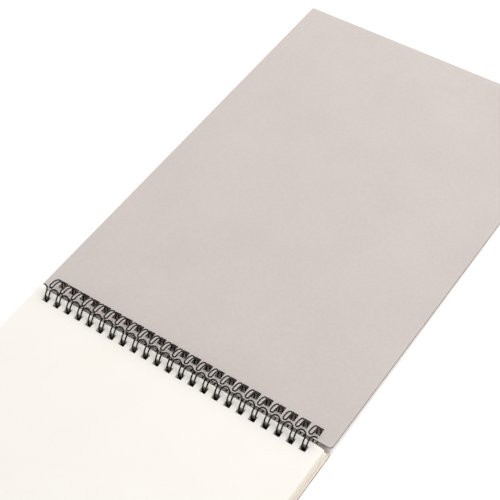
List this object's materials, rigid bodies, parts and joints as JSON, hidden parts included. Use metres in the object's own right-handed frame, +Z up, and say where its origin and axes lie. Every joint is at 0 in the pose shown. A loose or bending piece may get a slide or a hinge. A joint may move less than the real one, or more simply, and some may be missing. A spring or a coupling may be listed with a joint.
{
  "type": "sketchbook",
  "caption": "Wire-bound drawing pad lying open, with two stiff board covers, a block of punched loose drawing sheets and one continuous twin-loop wire.",
  "frame": {"origin": "on the table, below the middle of the binding", "axes": "+X along the binding, +Y towards the opened front cover, -Y towards the pad of sheets, +Z up from the table"},
  "size_m": [0.21, 0.5942, 0.0164],
  "materials": {
    "chipboard": "matte",
    "drawing_paper": "matte",
    "wire": "satin"
  },
  "bodies": {
    "pad": {"back_cover": "chipboard", "sheet_01": "drawing_paper", "sheet_02": "drawing_paper", "sheet_03": "drawing_paper", "sheet_04": "drawing_paper", "sheet_05": "drawing_paper", "sheet_06": "drawing_paper", "sheet_07": "drawing_paper", "sheet_08": "drawing_paper", "sheet_09": "drawing_paper", "sheet_10": "drawing_paper", "sheet_11": "drawing_paper", "sheet_12": "drawing_paper", "sheet_13": "drawing_paper", "sheet_14": "drawing_paper", "sheet_15": "drawing_paper", "sheet_16": "drawing_paper", "sheet_17": "drawing_paper", "sheet_18": "drawing_paper", "sheet_19": "drawing_paper", "sheet_20": "drawing_paper", "sheet_21": "drawing_paper", "sheet_22": "drawing_paper", "sheet_23": "drawing_paper", "sheet_24": "drawing_paper", "sheet_25": "drawing_paper", "sheet_26": "drawing_paper", "sheet_27": "drawing_paper", "sheet_28": "drawing_paper", "sheet_29": "drawing_paper", "sheet_30": "drawing_paper", "sheet_31": "drawing_paper", "sheet_32": "drawing_paper", "sheet_33": "drawing_paper", "sheet_34": "drawing_paper", "sheet_35": "drawing_paper", "sheet_36": "drawing_paper", "sheet_37": "drawing_paper", "sheet_38": "drawing_paper", "sheet_39": "drawing_paper"},
    "wire": {"binding_wire": "wire"},
    "cover": {"front_cover": "chipboard"}
  },
  "joints": [
    {"name": "wire_turn", "type": "hinge", "parent": "pad", "child": "wire", "pos_m": [0, 0, 0.00795], "axis": [1, 0, 0], "range_deg": [0, 45.13]},
    {"name": "front_cover_hinge", "type": "hinge", "parent": "wire", "child": "cover", "pos_m": [0, 0.00256, 0.00907], "axis": [1, 0, 0], "range_deg": [0, 136.72]}
  ],
  "couplings": [
    {"joint": "wire_turn", "follows": "front_cover_hinge", "ratio": 0.32972}
  ]
}
